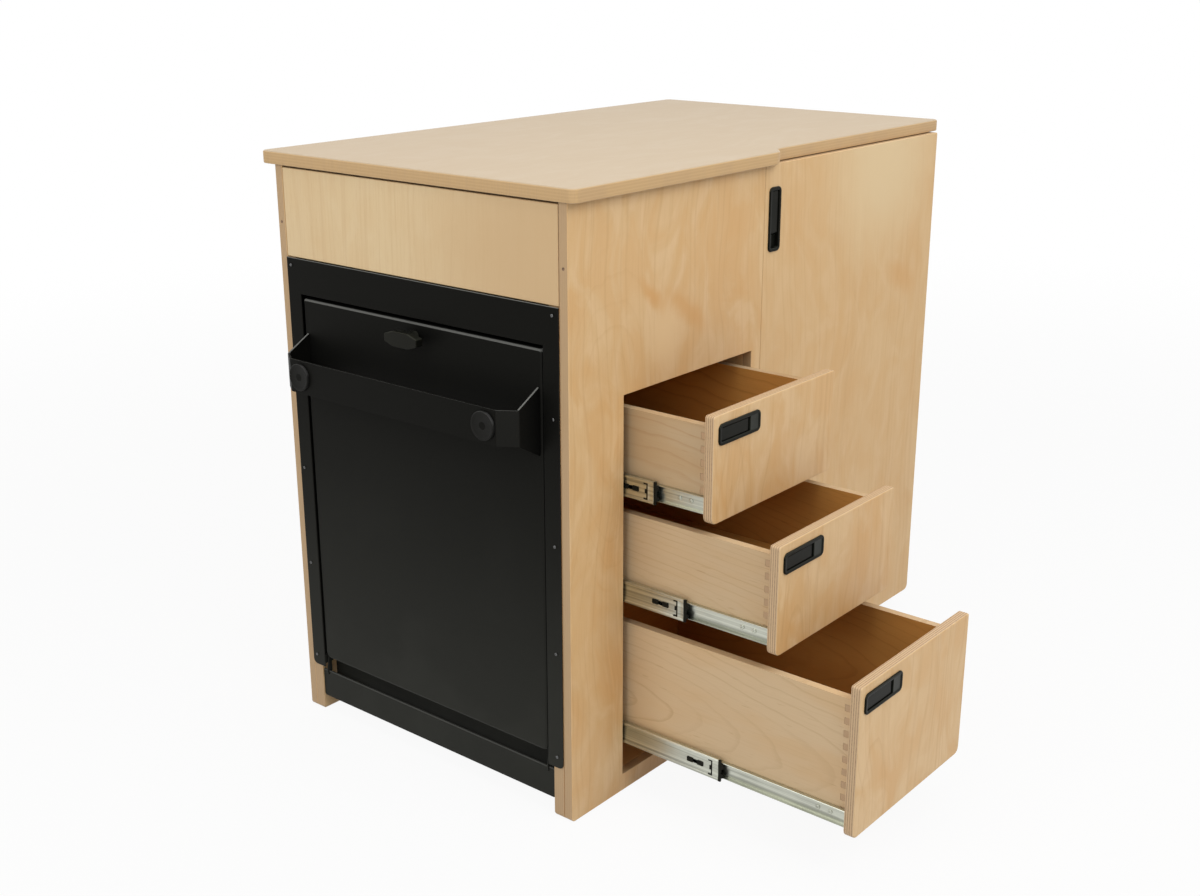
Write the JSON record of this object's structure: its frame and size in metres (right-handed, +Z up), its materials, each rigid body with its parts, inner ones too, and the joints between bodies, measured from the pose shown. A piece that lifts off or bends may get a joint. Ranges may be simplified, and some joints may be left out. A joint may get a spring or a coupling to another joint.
{
  "type": "shower and kitchen cabinet",
  "caption": "Plywood camper cabinet with a fold-down black shower door at one end, pull-out drawers on full-extension runners, a tall cupboard door and a thick worktop.",
  "frame": {"origin": "middle of the footprint on the floor, with the drawers open as in the picture", "axes": "+X along the drawer face away from the shower end, +Y from the drawer face to the back, +Z up"},
  "size_m": [1.048, 0.9754, 0.9],
  "materials": {
    "birch_ply": "clear satin lacquer over plywood",
    "worktop_ply": "clear matt lacquer over plywood",
    "maple": "clear satin lacquer",
    "stained_ply": "dark satin lacquer",
    "black_steel": "satin powder coat",
    "zinc_steel": "bright zinc plating",
    "black_plastic": "moulded, satin",
    "button_grey": "moulded, satin"
  },
  "bodies": {
    "cabinet": {"worktop": "worktop_ply", "front_panel": "birch_ply", "rear_panel": "birch_ply", "right_end_panel": "birch_ply", "left_partition": "birch_ply", "right_partition": "birch_ply", "drawer_floor": "birch_ply", "cupboard_floor": "birch_ply", "front_cheek": "birch_ply", "rear_cheek": "birch_ply", "false_front": "birch_ply", "shower_case": "black_steel", "kick_bar": "black_steel", "hinge_leaf_frame": "zinc_steel", "runner_1_left_outer": "zinc_steel", "runner_1_right_outer": "zinc_steel", "runner_2_left_outer": "zinc_steel", "runner_2_right_outer": "zinc_steel", "runner_3_left_outer": "zinc_steel", "runner_3_right_outer": "zinc_steel"},
    "drawer_1": {"drawer_1_front": "birch_ply", "drawer_1_side_left": "maple", "drawer_1_side_right": "maple", "drawer_1_back": "maple", "drawer_1_bottom": "stained_ply", "runner_1_left_inner": "zinc_steel", "runner_1_right_inner": "zinc_steel", "pull_1_bezel": "black_plastic"},
    "drawer_2": {"drawer_2_front": "birch_ply", "drawer_2_side_left": "maple", "drawer_2_side_right": "maple", "drawer_2_back": "maple", "drawer_2_bottom": "stained_ply", "runner_2_left_inner": "zinc_steel", "runner_2_right_inner": "zinc_steel", "pull_2_bezel": "black_plastic"},
    "drawer_3": {"drawer_3_front": "birch_ply", "drawer_3_side_left": "maple", "drawer_3_side_right": "maple", "drawer_3_back": "maple", "drawer_3_bottom": "stained_ply", "runner_3_left_inner": "zinc_steel", "runner_3_right_inner": "zinc_steel", "pull_3_bezel": "black_plastic"},
    "runner_1_left": {"runner_1_left_middle": "zinc_steel"},
    "runner_1_right": {"runner_1_right_middle": "zinc_steel"},
    "runner_2_left": {"runner_2_left_middle": "zinc_steel"},
    "runner_2_right": {"runner_2_right_middle": "zinc_steel"},
    "runner_3_left": {"runner_3_left_middle": "zinc_steel"},
    "runner_3_right": {"runner_3_right_middle": "zinc_steel"},
    "button_1": {"pull_1_button": "button_grey"},
    "button_2": {"pull_2_button": "button_grey"},
    "button_3": {"pull_3_button": "button_grey"},
    "shower_flap": {"shower_door": "black_steel", "shower_rail": "black_steel"},
    "knob": {"latch_knob": "black_plastic"},
    "cupboard_door": {"tall_door": "birch_ply", "hinge_leaf_door": "zinc_steel", "pull_door_bezel": "black_plastic"},
    "door_button": {"pull_door_button": "button_grey"}
  },
  "joints": [
    {"name": "drawer_1_slide", "type": "slide", "parent": "cabinet", "child": "drawer_1", "axis": [0, -1, 0], "range_m": [-0.147, 0.353]},
    {"name": "drawer_2_slide", "type": "slide", "parent": "cabinet", "child": "drawer_2", "axis": [0, -1, 0], "range_m": [-0.254, 0.246]},
    {"name": "drawer_3_slide", "type": "slide", "parent": "cabinet", "child": "drawer_3", "axis": [0, -1, 0], "range_m": [-0.383, 0.117]},
    {"name": "runner_1_left_slide", "type": "slide", "parent": "cabinet", "child": "runner_1_left", "axis": [0, -1, 0], "range_m": [-0.0735, 0.1765]},
    {"name": "runner_1_right_slide", "type": "slide", "parent": "cabinet", "child": "runner_1_right", "axis": [0, -1, 0], "range_m": [-0.0735, 0.1765]},
    {"name": "runner_2_left_slide", "type": "slide", "parent": "cabinet", "child": "runner_2_left", "axis": [0, -1, 0], "range_m": [-0.127, 0.123]},
    {"name": "runner_2_right_slide", "type": "slide", "parent": "cabinet", "child": "runner_2_right", "axis": [0, -1, 0], "range_m": [-0.127, 0.123]},
    {"name": "runner_3_left_slide", "type": "slide", "parent": "cabinet", "child": "runner_3_left", "axis": [0, -1, 0], "range_m": [-0.1915, 0.0585]},
    {"name": "runner_3_right_slide", "type": "slide", "parent": "cabinet", "child": "runner_3_right", "axis": [0, -1, 0], "range_m": [-0.1915, 0.0585]},
    {"name": "button_1_press", "type": "slide", "parent": "drawer_1", "child": "button_1", "axis": [0, 1, 0], "range_m": [0, 0.0058], "stiffness_N_per_m": 200},
    {"name": "button_2_press", "type": "slide", "parent": "drawer_2", "child": "button_2", "axis": [0, 1, 0], "range_m": [0, 0.0058], "stiffness_N_per_m": 200},
    {"name": "button_3_press", "type": "slide", "parent": "drawer_3", "child": "button_3", "axis": [0, 1, 0], "range_m": [0, 0.0058], "stiffness_N_per_m": 200},
    {"name": "shower_door_fold", "type": "hinge", "parent": "cabinet", "child": "shower_flap", "pos_m": [-0.458, 0.18025, 0.071], "axis": [0, -1, 0], "range_deg": [0, 90]},
    {"name": "latch_knob_turn", "type": "hinge", "parent": "shower_flap", "child": "knob", "pos_m": [-0.4625, 0.18025, 0.6662], "axis": [1, 0, 0], "range_deg": [0, 90]},
    {"name": "cupboard_door_swing", "type": "hinge", "parent": "cabinet", "child": "cupboard_door", "pos_m": [0.5087, -0.0858, 0.034], "axis": [0, 0, 1], "range_deg": [0, 105]},
    {"name": "door_button_release", "type": "slide", "parent": "cupboard_door", "child": "door_button", "axis": [0, -1, 0], "range_m": [0, 0.0058]}
  ],
  "couplings": [
    {"joint": "runner_1_left_slide", "follows": "drawer_1_slide", "ratio": 0.5},
    {"joint": "runner_1_right_slide", "follows": "drawer_1_slide", "ratio": 0.5},
    {"joint": "runner_2_left_slide", "follows": "drawer_2_slide", "ratio": 0.5},
    {"joint": "runner_2_right_slide", "follows": "drawer_2_slide", "ratio": 0.5},
    {"joint": "runner_3_left_slide", "follows": "drawer_3_slide", "ratio": 0.5},
    {"joint": "runner_3_right_slide", "follows": "drawer_3_slide", "ratio": 0.5}
  ]
}
